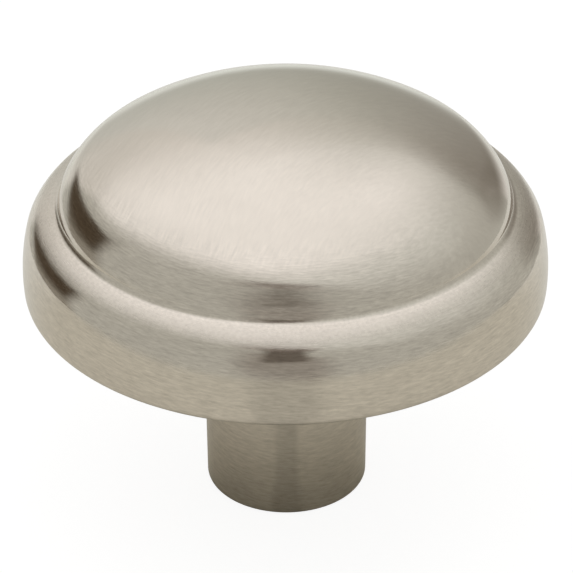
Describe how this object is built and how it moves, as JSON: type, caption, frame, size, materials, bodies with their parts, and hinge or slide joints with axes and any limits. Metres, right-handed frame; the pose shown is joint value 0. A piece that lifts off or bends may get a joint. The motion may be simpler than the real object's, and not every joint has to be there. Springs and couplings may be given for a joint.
{
  "type": "cabinet knob",
  "caption": "Round cabinet knob: a low dome inside a rolled rim, on a plain stem with a tapped blind hole in its foot for the fixing screw.",
  "frame": {"origin": "centre of the stem's foot, on the face that seats on the door", "axes": "+Z along the turning axis, out of the door through the crown; X and Y are free round it"},
  "size_m": [0.0318, 0.0318, 0.026],
  "materials": {
    "nickel": "brushed nickel plate on a zinc casting"
  },
  "bodies": {
    "root": {"knob": "nickel"}
  },
  "joints": []
}
